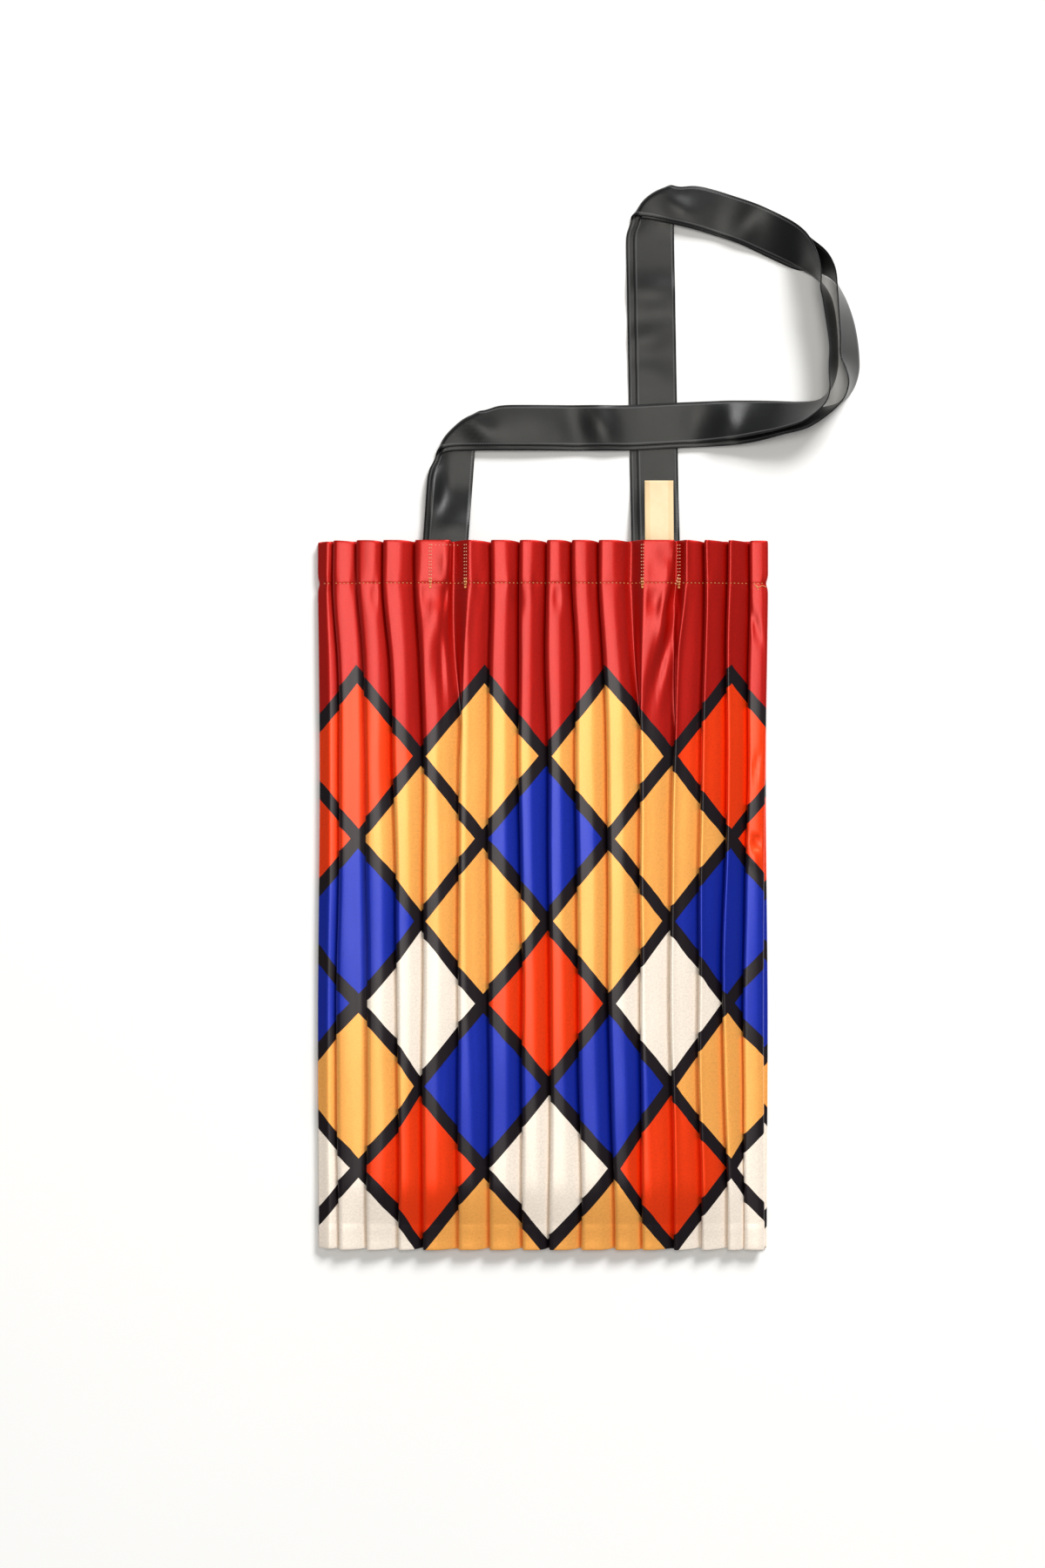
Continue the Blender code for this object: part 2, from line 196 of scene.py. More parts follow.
FRONT_ROUTE = (
    (-0.410, 0.371, 0, 2.6),
    (-0.263, 0.371, 0, 2.4),
    (-0.103, 0.371, 0, 2.1),
    (-0.015, 0.375, 0, 2.0),
    (0.081, 0.380, 0, 2.05),
    (0.179, 0.383, 7, 0.8),
    (0.265, 0.383, 23, 0.1),
    (0.339, 0.381, 40, 0),
    (0.413, 0.378, 55, 0),
    (0.474, 0.381, 77, 0),
    (0.521, 0.398, 93, 0),
    (0.550, 0.432, 104, 0),
    (0.565, 0.477, 116, 0),
    (0.566, 0.523, 123, 0),
    (0.560, 0.577, 120, 0),
    (0.548, 0.631, 116, 0),
    (0.526, 0.688, 107, 0),
    (0.494, 0.737, 92, 0),
    (0.450, 0.759, 65, 0),
    (0.388, 0.768, 34, 0),
    (0.324, 0.795, 16, 0.2),
    (0.229, 0.838, 6, 1.2),
    (0.135, 0.869, 0, 2.2),
    (0.061, 0.888, 0, 2.85),
)


def smooth(t):
    """An even step from 0 to 1."""
    t = np.clip(t, 0.0, 1.0)
    return t * t * (3 - 2 * t)


def hermite(knots, values, x):
    """A smooth curve through the knots, read at x."""
    knots, values = np.asarray(knots, float), np.asarray(values, float)
    slopes = np.gradient(values, knots)
    slopes[0] = slopes[-1] = 0.0
    i = np.clip(np.searchsorted(knots, x, side="right") - 1, 0, len(knots) - 2)
    h = knots[i + 1] - knots[i]
    t = (np.clip(x, knots[0], knots[-1]) - knots[i]) / h
    a = (1 + 2 * t) * (1 - t) ** 2
    b = t * (1 - t) ** 2
    c = t * t * (3 - 2 * t)
    d = t * t * (t - 1)
    return a * values[i] + b * h * slopes[i] + c * values[i + 1] + d * h * slopes[i + 1]


def mesh_object(name, vertices, faces, finish, uv=None):
    """A smooth shaded object with one material; uv holds a flat cloth place for each vertex."""
    data = bpy.data.meshes.new(name)
    data.from_pydata([tuple(v) for v in vertices], [], [tuple(f) for f in faces])
    if uv is not None:
        layer = data.uv_layers.new(name="cloth")
        corners = np.empty(len(data.loops), dtype=np.int64)
        data.loops.foreach_get("vertex_index", corners)
        layer.data.foreach_set("uv", np.asarray(uv, dtype=np.float32)[corners].ravel())
    data.materials.append(finish)
    data.shade_smooth()
    data.update()
    thing = bpy.data.objects.new(name, data)
    scene.collection.objects.link(thing)
    return thing


def sleeve(sides, u, v):
    """Points, faces and flat cloth places of a closed sleeve between two sheets of points."""
    count, width = u.shape
    ring = np.concatenate([sides[0], sides[1][:, ::-1]], axis=1)
    flat = np.stack([u, v], axis=-1)
    uv = np.concatenate([flat, flat[:, ::-1]], axis=1)
    index = np.arange(count * 2 * width).reshape(count, 2 * width)
    following = np.roll(index, -1, axis=1)
    quads = np.stack([index[:-1], following[:-1], following[1:], index[1:]], axis=-1).reshape(-1, 4)
    caps = []
    for line, turned in ((index[0], True), (index[-1], False)):
        there, back = line[:width], line[::-1][:width]
        cap = np.stack([there[:-1], there[1:], back[1:], back[:-1]], axis=-1)
        caps.append(cap[:, ::-1] if turned else cap)
    faces = np.concatenate([quads, *caps])
    return ring.reshape(-1, 3) + np.array(ORIGIN), faces, uv.reshape(-1, 2)


# Nodes


class Net:
    """Short calls for making shader nodes."""

    def __init__(self, tree):
        self.tree = tree

    def node(self, kind):
        return self.tree.nodes.new("ShaderNode" + kind)

    def put(self, socket, value):
        if isinstance(value, bpy.types.NodeSocket):
            self.tree.links.new(value, socket)
        else:
            socket.default_value = value

    def feed(self, node, values):
        for name, value in values.items():
            self.put(node.inputs[name], value)

    def math(self, operation, a, b=0.0, c=0.0):
        node = self.node("Math")
        node.operation = operation
        for socket, value in zip(node.inputs, (a, b, c)):
            self.put(socket, value)
        return node.outputs[0]

    def plus(self, a, b):
        return self.math("ADD", a, b)

    def times(self, a, b):
        return self.math("MULTIPLY", a, b)

    def uv(self):
        node = self.node("UVMap")
        node.uv_map = "cloth"
        parts = self.node("SeparateXYZ")
        self.put(parts.inputs[0], node.outputs[0])
        return node.outputs[0], parts.outputs[0], parts.outputs[1]

    def vector(self, x, y):
        node = self.node("CombineXYZ")
        self.feed(node, {"X": x, "Y": y})
        return node.outputs[0]

    def noise(self, vector, scale, detail=2.0, rough=0.5):
        node = self.node("TexNoise")
        self.feed(node, {"Vector": vector, "Scale": scale, "Detail": detail, "Roughness": rough})
        return node.outputs[0]

    def ramp(self, value, stops, constant=False):
        node = self.node("ValToRGB")
        if constant:
            node.color_ramp.interpolation = "CONSTANT"
        elements = node.color_ramp.elements
        while len(elements) < len(stops):
            elements.new(1.0)
        for element, (place, colour) in zip(elements, stops):
            element.position = place
            element.color = (*colour, 1.0)
        self.put(node.inputs[0], value)
        return node.outputs[0]

    def mix(self, share, a, b):
        node = self.node("Mix")
        node.data_type = "RGBA"
        self.put(node.inputs[0], share)
        for socket, value in ((node.inputs[6], a), (node.inputs[7], b)):
            self.put(socket, (*value, 1.0) if isinstance(value, tuple) else value)
        return node.outputs[2]

    def bump(self, height, strength, distance, normal=None):
        node = self.node("Bump")
        self.feed(node, {"Strength": strength, "Distance": distance, "Height": height})
        if normal is not None:
            self.put(node.inputs["Normal"], normal)
        return node.outputs[0]


def new_material(name):
    """A material, the short calls for its nodes and its surface shader."""
    made = bpy.data.materials.new(name)
    made.use_nodes = True
    return made, Net(made.node_tree), made.node_tree.nodes["Principled BSDF"]


def toned(base, factor):
    """A darker or lighter tone of a colour."""
    return tuple(min(1.0, c * factor) for c in base)


BRICK = (0.46, 0.004, 0.0005)
FLAME = (0.99, 0.048, 0.0005)
APRICOT = (0.98, 0.43, 0.095)
COBALT = (0.004, 0.022, 0.39)
IVORY = (0.94, 0.83, 0.72)
INK = (0.011, 0.006, 0.009)
LABEL_DARK = (0.87, 0.66, 0.39)
LABEL_LIGHT = (0.92, 0.73, 0.46)
LABEL_EDGE = (0.74, 0.46, 0.18)
FRONT_BLACK = (0.0065, 0.0068, 0.0072)
BACK_BLACK = (0.0068, 0.0072, 0.0076)
PAPER_DARK = (0.93, 0.93, 0.93)
PAPER_LIGHT = (0.97, 0.97, 0.97)
PEACH = (0.96, 0.62, 0.36)
GOLD = (0.90, 0.42, 0.12)

# The print: lozenges in rows up the cloth, named from the middle column outwards; the outline's
# half width is a share of a lozenge
PRINT_WIDTH = 0.080
PRINT_HEIGHT = 0.100
PRINT_LINE = 0.058
PRINT_COLUMNS = 8.0
PRINT_WANDER = 0.0012
BAND_ROW = 6
PRINT_ROWS = {
    5: (APRICOT, FLAME, FLAME),
    4: (COBALT, APRICOT, FLAME),
    3: (APRICOT, COBALT, IVORY),
    2: (FLAME, IVORY, COBALT),
    1: (COBALT, APRICOT, FLAME),
    0: (IVORY, FLAME, IVORY),
    -1: (APRICOT, IVORY, COBALT),
}


def printed_satin(name):
    """Satin with a lozenge print under a plain top band, in flat cloth coordinates."""
    made, net, surface = new_material(name)
    uv, u, v = net.uv()
    wander = net.noise(uv, 60.0, 2.0)
    wander = net.times(net.math("SUBTRACT", wander, 0.5), PRINT_WANDER)
    across = net.math("DIVIDE", net.plus(u, wander), PRINT_WIDTH)
    up = net.math("DIVIDE", net.plus(v, wander), PRINT_HEIGHT)
    p, q = net.plus(up, across), net.math("SUBTRACT", up, across)
    cell_p, cell_q = net.math("FLOOR", p), net.math("FLOOR", q)
    row = net.plus(cell_p, cell_q)
    column = net.math("ABSOLUTE", net.math("SUBTRACT", cell_p, cell_q))
    place = net.math("DIVIDE", net.plus(column, 0.5), PRINT_COLUMNS)
    # Every row's colours by column, over the band's red
    colour = BRICK
    for number, names in PRINT_ROWS.items():
        first = 0 if number % 2 == 0 else 1
        stops = [(0.0, names[0])]
        for step, cell in enumerate(names[1:], 1):
            stops.append(((first + 2 * step - 0.5) / PRINT_COLUMNS, cell))
        here = net.math("COMPARE", row, float(number), 0.5)
        colour = net.mix(here, colour, net.ramp(place, stops, constant=True))
    # Ink outlines inside the print, and along its zigzag upper edge
    parts = [net.math("FRACT", value) for value in (p, q)]
    near = [net.math("MINIMUM", part, net.math("SUBTRACT", 1.0, part)) for part in parts]
    line = net.math("LESS_THAN", net.math("MINIMUM", *near), PRINT_LINE)
    line = net.times(line, net.math("LESS_THAN", row, BAND_ROW - 0.5))
    for kind, band in (("MINIMUM", BAND_ROW), ("MAXIMUM", BAND_ROW + 1)):
        zigzag = net.math("LESS_THAN", net.math(kind, *parts), PRINT_LINE)
        zigzag = net.times(zigzag, net.math("COMPARE", row, float(band), 0.5))
        line = net.math("MAXIMUM", line, zigzag)
    colour = net.mix(line, colour, INK)
    # Fine grain and soft patches in the colour
    speckle = net.noise(uv, 760.0, 2.5, 0.75)
    patch = net.noise(uv, 22.0, 3.0, 0.55)
    shade = net.plus(net.times(speckle, 0.46), net.times(patch, 0.12))
    shade = net.plus(shade, 0.71)
    tone = net.node("VectorMath")
    tone.operation = "SCALE"
    net.put(tone.inputs[0], colour)
    net.put(tone.inputs["Scale"], shade)
    # Light colours are less metallic than the red and the blue
    split = net.node("SeparateColor")
    net.put(split.inputs[0], colour)
    gloss = net.math("SUBTRACT", 0.62, net.times(split.outputs["Green"], 0.45))
    fine = net.noise(net.vector(net.times(u, 0.35), v), 4200.0, 1.0)
    ripple = net.noise(net.vector(u, net.times(v, 0.25)), 90.0, 2.0)
    normal = net.bump(fine, 0.30, 0.00012)
    looks = {
        "Base Color": tone.outputs[0],
        "Roughness": net.plus(0.34, net.times(speckle, 0.14)),
        "Metallic": gloss,
        "Specular IOR Level": 0.08,
        "Coat Weight": 0.50,
        "Coat Roughness": 0.28,
        "Sheen Weight": 0.01,
        "Sheen Roughness": 0.35,
        "Normal": net.bump(ripple, 0.50, 0.0007, normal),
    }
    net.feed(surface, looks)
    return made


# Pitches of the ribbon's rib and edge beads and of the tape's weave, and the places of the
# bead line and of the tape's darker sides from the middle
RIB_PITCH = 0.00045
BEAD_PITCH = 0.0011
BEAD_LINE = 0.0109
BEAD_HALF = 0.0004
WEAVE_PITCH = 0.0004
TAPE_SIDE = 0.0079


def ribbon_satin(name, base):
    """Black satin ribbon with a fine rib across it and a beaded line inside each edge."""
    made, net, surface = new_material(name)
    uv, u, v = net.uv()
    inside = net.math("ABSOLUTE", u)
    from_line = net.math("ABSOLUTE", net.math("SUBTRACT", inside, BEAD_LINE))
    edge = net.math("LESS_THAN", from_line, BEAD_HALF)
    bead = net.math("SINE", net.times(v, 2 * math.pi / BEAD_PITCH))
    bead = net.plus(net.times(bead, 0.5), 0.5)
    stitch = net.times(edge, net.plus(0.35, net.times(bead, 0.65)))
    cloud = net.noise(uv, 45.0, 3.0, 0.6)
    tone = net.ramp(cloud, ((0.25, toned(base, 0.85)), (0.8, toned(base, 1.2))))
    beads = tuple(min(1.0, c * 3.4 + 0.06) for c in base)
    rib = net.math("SINE", net.times(v, 2 * math.pi / RIB_PITCH))
    height = net.plus(net.times(rib, 0.25), net.times(stitch, 1.5))
    normal = net.bump(height, 0.30, 0.00010)
    wave = net.noise(net.vector(net.times(u, 0.5), v), 22.0, 1.5)
    looks = {
        "Base Color": net.mix(stitch, tone, beads),
        "Roughness": net.plus(0.27, net.times(cloud, 0.10)),
        "Specular IOR Level": 0.31,
        "Sheen Weight": 0.04,
        "Sheen Roughness": 0.35,
        "Normal": net.bump(wave, 0.50, 0.0032, normal),
    }
    net.feed(surface, looks)
    return made


def label_tape(name):
    """Plain woven tape with slightly darker side edges."""
    made, net, surface = new_material(name)
    uv, u, v = net.uv()
    cloud = net.noise(uv, 140.0, 3.0, 0.6)
    tone = net.ramp(cloud, ((0.3, LABEL_DARK), (0.75, LABEL_LIGHT)))
    side = net.math("GREATER_THAN", net.math("ABSOLUTE", u), TAPE_SIDE)
    tone = net.mix(net.times(side, 0.35), tone, LABEL_EDGE)
    weft = net.math("SINE", net.times(v, 2 * math.pi / WEAVE_PITCH))
    warp = net.math("SINE", net.times(u, 2 * math.pi / WEAVE_PITCH))
    looks = {
        "Base Color": tone,
        "Roughness": net.plus(0.5, net.times(cloud, 0.12)),
        "Sheen Weight": 0.15,
        "Normal": net.bump(net.times(weft, warp), 0.35, 0.00008),
    }
    net.feed(surface, looks)
    return made


def thread(name, base):
    """Sewing thread with a little change of tone along it."""
    made, net, surface = new_material(name)
    cloud = net.noise(net.node("TexCoord").outputs["Object"], 900.0, 2.0, 0.6)
    tone = net.ramp(cloud, ((0.3, toned(base, 0.8)), (0.75, toned(base, 1.1))))
    net.feed(surface, {"Base Color": tone, "Roughness": 0.45, "Sheen Weight": 0.2})
    return made


def white_paper():
    """Matt white paper for the floor, very slightly uneven."""
    made, net, surface = new_material("white_paper")
    cloud = net.noise(net.node("TexCoord").outputs["Object"], 3.0, 2.0)
    tone = net.ramp(cloud, ((0.0, PAPER_DARK), (1.0, PAPER_LIGHT)))
    net.feed(surface, {"Base Color": tone, "Roughness": 0.7, "Specular IOR Level": 0.2})
    return made


# Panels

LOOK_CLOTH = 0.0006
# Heights of the mouth hem's and the bottom hem's stitch lines
STITCH_Y = BAG_LENGTH - HEM_DEPTH
BOTTOM_HEM = 0.016
# How much of the print a fold swallows: the cloth is printed with its pleats pressed in
HIDDEN = 0.0005
# Points of the section for each of its control points
SAMPLES = 2
# How far the folds waver from their places across the bag
FOLD_WOBBLE = 0.28 * MM
# Heights, as shares of the bag, at which the level parts have their bottom, middle and mouth widths
LEVEL_KNOTS = (0, 0.45, 0.80, 1)
# Narrowest level part, and the room kept beside it for the slope
LEAST_LEVEL = 2.6 * MM
SLOPE_ROOM = 2.4 * MM
# Least level share of the pressed back, and half the run over which a face turns down its slope
PRESSED_LEVEL = 0.62
SHOULDER = 0.8 * MM
# Points on the slope: their places along it and heights, on the front and on the pressed back
SLOPE_PLACES = (0.45, 0.66)
SLOPE_HEIGHTS = (0.66, 0.44)
PRESSED_HEIGHTS = (0.30, 0.15)
# How the hem's stitch line pulls in the two sides
NICK_LEFT = 0.9 * MM
NICK_RIGHT = 1.1 * MM
NICK_REACH = 3.0 * MM


def spline_basis(count, samples):
    """Weights of a uniform cubic B-spline with clamped ends: samples rows by count columns."""
    reach = [0, 0] + list(range(count)) + [count - 1, count - 1]
    rows = []
    for start in range(len(reach) - 3):
        for step in range(samples):
            t = step / samples
            weights = ((1 - t) ** 3, 3 * t**3 - 6 * t**2 + 4, -3 * t**3 + 3 * t**2 + 3 * t + 1, t**3)
            line = np.zeros(count)
            for k, weight in enumerate(weights):
                line[reach[start + k]] += weight / 6
            rows.append(line)
    last = np.zeros(count)
    last[count - 1] = 1.0
    rows.append(last)
    return np.array(rows)


def edges_at(share):
    """Fold edges at each height, one column for each fold and the right edge."""
    table = [(p.bottom, p.middle, p.upper, p.shoulder, p.top, p.top) for p in (*PLEATS, RIGHT_EDGE)]
    return np.stack([hermite(EDGE_KNOTS, row, share) for row in table], axis=1)


def openings_at(share):
    """How far each fold stands open at each height, as a share of its tuck."""
    table = [
        (0, 0, min(p.open_shoulder, 1), p.open_shoulder, p.open_top, p.open_top)
        for p in (*PLEATS, RIGHT_EDGE)
    ]
    return np.stack([hermite(OPEN_KNOTS, row, share) for row in table], axis=1)


def wavering(edges, share):
    """Fold edges that waver up the bag, with the sides pulled in at the hem's stitch line."""
    wobble = np.zeros_like(edges)
    for k in range(1, edges.shape[1] - 1):
        wave = np.sin(share * (9 + 1.7 * (k % 5)) + 2.1 * k)
        wave = wave + 0.6 * np.sin(share * (23 + 2.3 * (k % 4)) + 1.3 * k)
        wobble[:, k] = FOLD_WOBBLE * wave
    edges = edges + wobble
    nick = np.exp(-(((share - (1 - HEM_DEPTH / BAG_LENGTH)) * BAG_LENGTH / NICK_REACH) ** 2))
    edges[:, 0] += NICK_LEFT * nick
    edges[:, -1] -= NICK_RIGHT * nick
    return edges


def fold_shapes(right, tuck, next_crest, start):
    """Control points of a fold's hidden part, closed and standing open: x, height, flat place."""
    valley = right + tuck
    away = np.maximum(-tuck, 0.0)
    up = next_crest - LOW
    closed = (
        (valley + 0.5 * MM, LOW, start + HIDDEN),
        (valley + 0.5 * MM, MIDDLE, start + 1.2 * HIDDEN),
        (right + 1.8 * MM, MIDDLE, start + 1.6 * HIDDEN),
        (right - 0.45 * MM, MIDDLE + 0.1 * MM, start + 1.8 * HIDDEN),
        (right - OVERHANG, next_crest - 0.10 * MM, start + 2 * HIDDEN + 0.1 * MM),
    )
    standing = (
        (valley + 0.05 * away, LOW),
        (valley + 0.30 * away, LOW + 0.25 * up),
        (valley + 0.62 * away, LOW + 0.62 * up),
        (valley + 0.90 * away, LOW + 0.95 * up),
        (right + 0.1 * MM, next_crest + 0.15 * MM),
    )
    return closed, standing


def fold_skeleton(share, pressed):
    """Control points of the cloth's middle line at each height: x, height and flat place."""
    edges = wavering(BAG_WIDTH * (edges_at(share) - 0.5), share)
    opened = np.clip(openings_at(share), 0, None)
    table = [(f.bottom, f.middle, f.middle, f.mouth) for f in FACES]
    level = np.stack([hermite(LEVEL_KNOTS, row, share) for row in table], axis=1)
    points = []
    flat = -0.5 * (BAG_WIDTH + 2 * HIDDEN * FOLDS)

    def add(x, height, place):
        points.append(np.stack([x, height + 0 * x, place + 0 * x], axis=1))

    count = len(FACES)
    for k in range(count):
        left, right = edges[:, k], edges[:, k + 1]
        width = right - left
        next_edge = PLEATS[k + 1] if k + 1 < count else RIGHT_EDGE
        mean_width = BAG_WIDTH * next_edge.upper - BAG_WIDTH * PLEATS[k].upper
        proud = 0.0 if pressed else FACES[k].proud * MM
        crest = HIGH + proud
        dip = DIPS.get(k, 0.0) * MM if not pressed else 0.0
        flatness = np.clip(level[:, k], PRESSED_LEVEL if pressed else 0.0, 1.0)
        room = width
        if k + 1 < count:
            room = np.minimum(width, width + TUCK * (1 - opened[:, k + 1]))
        span = np.maximum(flatness * room, LEAST_LEVEL)
        span = np.minimum(span, room - SLOPE_ROOM)
        if k == 0:
            add(left + SIDE_FOLD, LOW, flat - SIDE_FOLD)
            add(left + SIDE_FOLD * 0.5, LOW, flat - SIDE_FOLD * 0.6)
            add(left - 0.4 * MM, LOW + 0.1 * MM, flat - 0.8 * MM)
            add(left - 0.4 * MM, crest - 0.3 * MM - (0.0 if pressed else SIDE_FALL), flat + 0.4 * MM)
        scale = mean_width / width
        start_x = np.minimum(1.1 * MM, span * 0.5)
        start_height = crest - SIDE_FALL if k == 0 and not pressed else crest + 0.1 * MM
        add(left + start_x, start_height, flat + start_x * scale)
        add(left + span - SHOULDER, crest - dip, flat + (span - SHOULDER) * scale)
        add(left + span + SHOULDER, crest - dip - 0.55 * MM, flat + (span + SHOULDER) * scale)
        if k == count - 1:
            add(right - 1.2 * MM, crest - dip - 0.4 * MM, flat + mean_width - 1.2 * MM)
            add(right + 0.3 * MM, crest - dip - 1.0 * MM, flat + mean_width + 0.3 * MM)
            add(right + 0.3 * MM, LOW + 0.1 * MM, flat + mean_width + 2.4 * MM)
            add(right - 2.4 * MM, LOW, flat + mean_width + 4.0 * MM)
            break
        open_k = opened[:, k + 1]
        blend = smooth(open_k)
        tuck = TUCK * (1 - open_k)
        rise = crest - dip - LOW
        foot_closed = right + 0.2 * MM
        foot_open = np.minimum(right + tuck - 1.4 * MM, foot_closed)
        foot = foot_closed * (1 - blend) + foot_open * blend
        rest = foot - left - span - SHOULDER
        for place, height in zip(SLOPE_PLACES, PRESSED_HEIGHTS if pressed else SLOPE_HEIGHTS):
            x = left + span + SHOULDER + place * rest
            add(x, LOW + height * rise, flat + (x - left) * scale)
        add(foot, LOW + 0.1 * MM, flat + (foot - left) * scale)
        next_crest = HIGH + (0.0 if pressed else FACES[k + 1].proud * MM)
        start = flat + mean_width
        closed, standing = fold_shapes(right, tuck, next_crest, start)
        for (closed_x, closed_height, place), (open_x, open_height) in zip(closed, standing):
            x = closed_x * (1 - blend) + open_x * blend
            add(x, closed_height * (1 - blend) + open_height * blend, place)
        flat = start + 2 * HIDDEN
    return np.stack(points, axis=1)


def loft(x, y):
    """How far the front is lifted off the back by the air and cloth in the bag."""
    return LOFT * smooth((BAG_WIDTH / 2 - np.abs(x)) / LOFT_RUN) * smooth(y / LOFT_RUN)


def bump_at(x, y, px, py, across, along, turn=0.0):
    """A soft round dent's weight, with its middle at a photo pixel and radii in metres."""
    dx, dy = x - bag_x(px), y - bag_y(py)
    c, s = math.cos(turn), math.sin(turn)
    a, b = dx * c + dy * s, -dx * s + dy * c
    return np.exp(-((a / across) ** 2) - (b / along) ** 2)


# Dents and swellings of the front: photo place, depth and radii in millimetres, turn in degrees
DENT_DEPTH = 1.7
DENTS = (
    (494, 684, -1.3, 2.2, 9.0, 4),
    (511, 684, -1.2, 2.2, 10.0, -6),
    (502, 700, 0.9, 2.6, 16.0, 0),
    (507, 765, -0.8, 1.9, 24.0, 3),
    (489, 745, 0.5, 3.0, 24.0, 0),
    (505, 650, -0.7, 1.7, 13.0, 2),
    (513, 646, 0.6, 1.7, 14.0, -2),
    (501, 640, 0.3, 1.6, 7.0, 20),
    (752, 690, -1.2, 2.4, 8.0, -8),
    (769, 694, -1.0, 2.2, 10.0, -14),
    (761, 716, 0.8, 2.6, 15.0, -8),
    (757, 765, -1.0, 2.6, 22.0, -14),
    (770, 757, 0.6, 2.6, 20.0, -10),
    (752, 655, -0.6, 2.4, 7.0, 0),
    (767, 640, -0.5, 2.4, 8.0, 20),
    (870, 969, -1.5, 1.7, 5.0, 55),
    (866, 986, 0.7, 2.0, 5.0, 20),
    (868, 880, -0.6, 1.2, 7.0, -12),
    (867, 718, -0.6, 1.6, 10.0, 15),
    (596, 690, -0.4, 3.0, 8.0, 0),
    (640, 688, -0.5, 1.8, 7.0, 0),
    (430, 684, -0.4, 1.8, 8.0, 0),
)


# The hems' doubled cloth, their sunk stitch lines, the hem's puckers and the cloth's soft swells
HEM_STEP = 0.16 * MM
HEM_SINK = 0.10 * MM
BOTTOM_STEP = 0.12 * MM
BOTTOM_SINK = 0.06 * MM
STEP_RUN = 1.6 * MM
PUCKER = 0.17 * MM
PUCKER_REACH = 6.0 * MM
CLOTH_SWELL = 0.16 * MM


def crumple(x, y):
    """Heights of the hem, its puckers and the soft dents of the front, in metres."""
    off = y - STITCH_Y
    z = HEM_STEP * smooth((off + 0.0008) / STEP_RUN)
    z = z - HEM_SINK * np.exp(-((off / 0.0009) ** 2))
    ripple = np.sin(x * 560 + 0.8) + 0.7 * np.sin(x * 910 + 2.0) + 0.5 * np.sin(x * 1430)
    z = z + PUCKER * ripple * np.exp(-np.abs(off) / PUCKER_REACH)
    z = z + BOTTOM_STEP * smooth((BOTTOM_HEM - y) / STEP_RUN)
    z = z - BOTTOM_SINK * np.exp(-(((y - BOTTOM_HEM) / 0.0012) ** 2))
    for px, py, depth, across, along, turn in DENTS:
        weight = bump_at(x, y, px, py, across * MM, along * MM, math.radians(turn))
        z = z + DENT_DEPTH * depth * MM * weight
    swelling = np.sin(x * 96 + 1.1 * np.sin(y * 31)) * np.sin(y * 44 + 2.0 * np.sin(x * 40))
    return z + CLOTH_SWELL * swelling


def panel_rows():
    """Heights of the rows, in metres: close at the ends, the bottom hem and the stitch line."""
    marks = [0, 0.0004, 0.0012, 0.0035, 0.007, 0.011, 0.0145, 0.0155, 0.0165, 0.0185, 0.023]
    marks += list(np.arange(0.028, 0.300, 0.0043))
    marks += list(np.arange(0.301, STITCH_Y - 0.005, 0.0026))
    marks += [STITCH_Y + d * MM for d in (-4.0, -2.8, -1.9, -1.2, -0.6, 0.0, 0.6, 1.2, 2.0, 3.2)]
    marks += list(np.arange(STITCH_Y + 0.0055, BAG_LENGTH - 0.002, 0.0026))
    marks += [BAG_LENGTH - 0.0012, BAG_LENGTH - 0.0004, BAG_LENGTH]
    return np.array(marks)


# Height at which the front's cloth counts as raised, and how the mouth's scallops calm down
# beside the strap folds: their place before the fold, their reach and their share
FRONT_RISE = 4.6 * MM
CALM_SHIFT = 3.5 * MM
CALM_REACH = 6 * MM
CALM_SHARE = 0.85
# The cloth's thickness at its cut ends, as a share, and the run to its full thickness
THIN_END = 0.35
THIN_RUN = 1.2 * MM


def panel_sheet(front):
    """Middle surface of one panel: x, y, height, normal, flat place, row and half thickness."""
    y = panel_rows()
    skeleton = fold_skeleton(y / BAG_LENGTH, not front)
    basis = spline_basis(skeleton.shape[1], SAMPLES)
    curve = np.einsum("sk,rkc->rsc", basis, skeleton)
    x, h, u = curve[..., 0], curve[..., 1], curve[..., 2]
    tx, th = np.gradient(x, axis=1), np.gradient(h, axis=1)
    size = np.hypot(tx, th) + 1e-12
    nx, nh = -th / size, tx / size
    raised = np.clip((h - LOW) / (FRONT_RISE if front else HIGH - LOW), 0, 1)
    rows = np.repeat(y[:, None], x.shape[1], axis=1)
    top = -SCALLOP * smooth((rows - STITCH_Y) / HEM_DEPTH)
    bottom = 0.9 * SCALLOP * smooth((0.012 - rows) / 0.012)
    drop = np.clip(1 - raised, 0, 0.75)
    for k in STRAP_FOLDS:
        valley = BAG_WIDTH * (PLEATS[k].top - 0.5) - CALM_SHIFT
        drop = drop * (1 - CALM_SHARE * np.exp(-(((x - valley) / CALM_REACH) ** 2)))
    place_y = rows + (top + bottom) * drop
    ends = np.minimum(rows, BAG_LENGTH - rows)
    full = np.sqrt(np.clip(ends / THIN_RUN, 0, 1))
    thick = LOOK_CLOTH / 2 * (THIN_END + (1 - THIN_END) * full)
    return x, place_y, h, nx, nh, u, rows, thick


def panel(name, front, finish):
    """One panel as a closed sleeve; the back is the front's mirror image, pressed flat."""
    x, y, h, nx, nh, u, rows, thick = panel_sheet(front)
    sides = []
    for sign in (1, -1):
        px, ph = x + sign * thick * nx, h + sign * thick * nh
        if front:
            pz = FRONT_BASE + loft(px, rows) + ph + crumple(px, rows)
            sides.append(np.stack([px, y, pz], axis=-1))
        else:
            sides.append(np.stack([-px, y, STACK - ph], axis=-1))
    points, faces, uv = sleeve(sides, u, rows)
    if front:
        faces = faces[:, ::-1]
    else:
        points[:, 2] = np.maximum(points[:, 2], 0.0)
    return mesh_object(name, points, faces, finish, uv)


# Ribbons, whose middle surfaces follow the part's source

